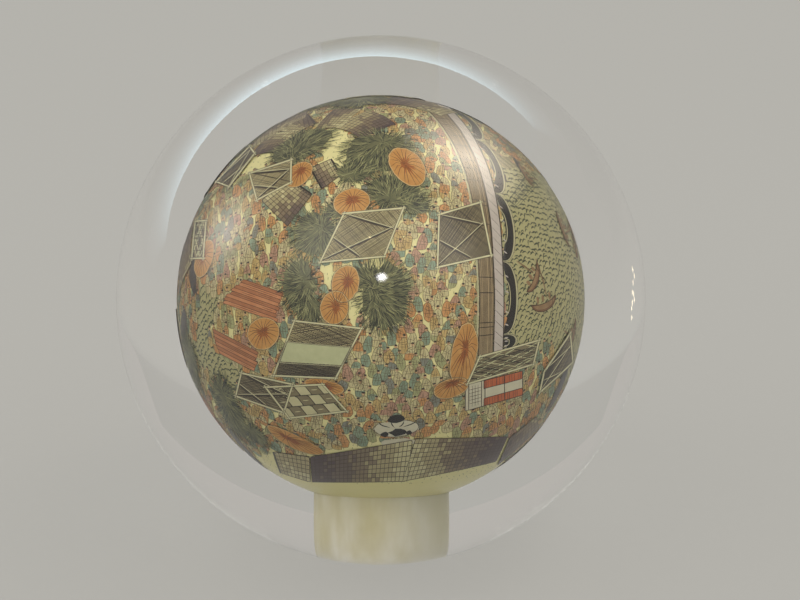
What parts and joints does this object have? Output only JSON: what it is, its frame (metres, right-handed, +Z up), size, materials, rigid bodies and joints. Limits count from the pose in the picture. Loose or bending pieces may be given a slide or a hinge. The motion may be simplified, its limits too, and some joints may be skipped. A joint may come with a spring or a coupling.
{
  "type": "paperweight",
  "caption": "Inside-painted crystal ball paperweight: clear glass ball with a round cavity, a crowded riverside market painted on its wall and a cream neck below.",
  "frame": {"origin": "centre of the flat base, on the surface that the ball stands on", "axes": "+Z up through the neck and the middle of the ball; -Y towards the viewer who sees the market square, +X to that viewer's right"},
  "size_m": [0.08, 0.08, 0.0786],
  "materials": {
    "crystal": "polished",
    "ink": "matte",
    "colours": "matte",
    "ground": "matte",
    "lining": "matte",
    "stopper": "matte"
  },
  "bodies": {
    "root": {"crystal_ball": "crystal", "ink_line_film": "ink", "colour_film": "colours", "ground_coat": "ground", "neck_lining": "lining", "neck_stopper": "stopper"}
  },
  "joints": []
}
